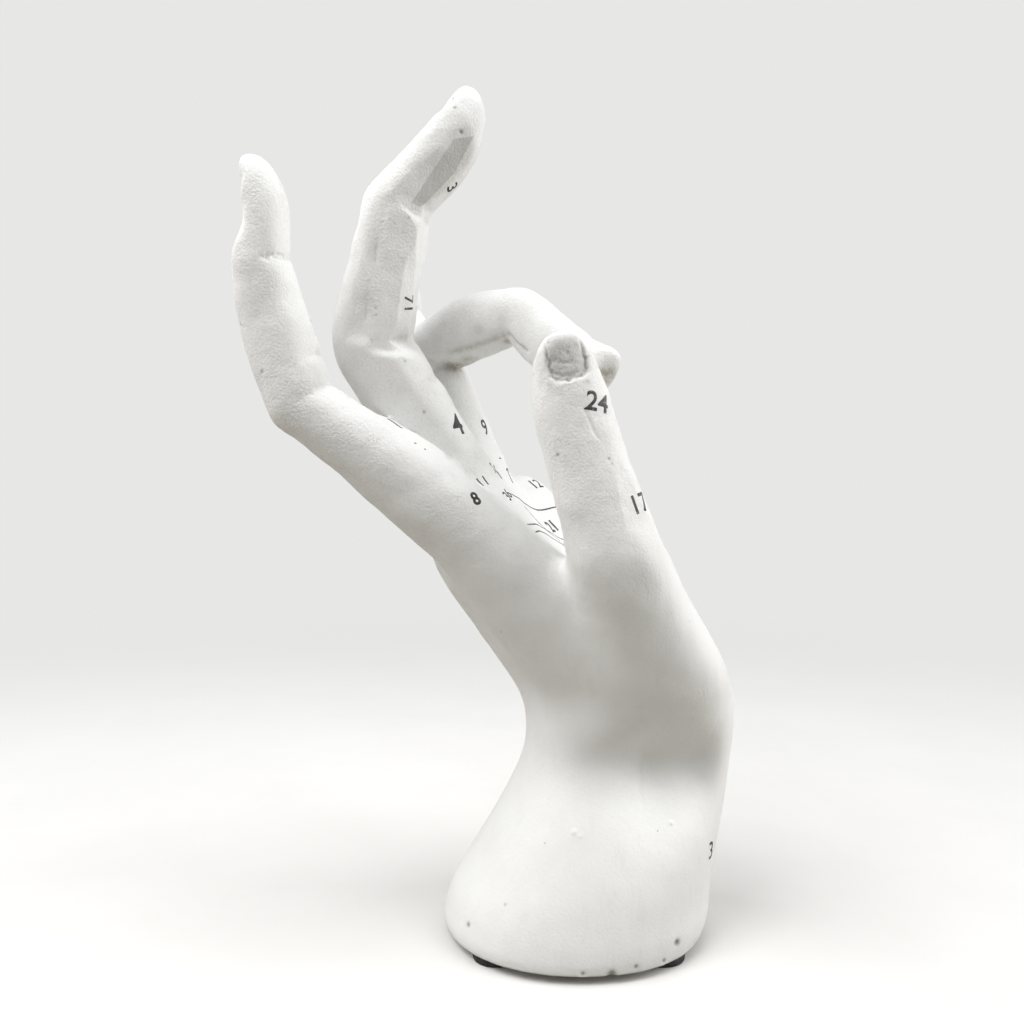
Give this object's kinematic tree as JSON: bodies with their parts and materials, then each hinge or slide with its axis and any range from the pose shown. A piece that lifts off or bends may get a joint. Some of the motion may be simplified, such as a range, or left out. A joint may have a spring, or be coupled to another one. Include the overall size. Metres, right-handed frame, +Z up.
{
  "type": "palmistry hand ornament",
  "caption": "Free-standing cast resin hand on a flared wrist, ring finger curled to the thumb, printed with a plain palm reading chart, on small rubber feet.",
  "frame": {"origin": "on the surface that the feet stand on, under the middle of the hand's outline seen from above", "axes": "+Z up; +X is the way the palm faces; the thumb side faces -Y, which is the side seen in the picture"},
  "size_m": [0.138, 0.0912, 0.2381],
  "materials": {
    "white_resin": "matte, slightly sandy",
    "black_rubber": "matte"
  },
  "bodies": {
    "root": {"hand_casting": "white_resin", "foot_pad_back_right": "black_rubber", "foot_pad_back_left": "black_rubber", "foot_pad_front_left": "black_rubber", "foot_pad_front_right": "black_rubber"}
  },
  "joints": []
}
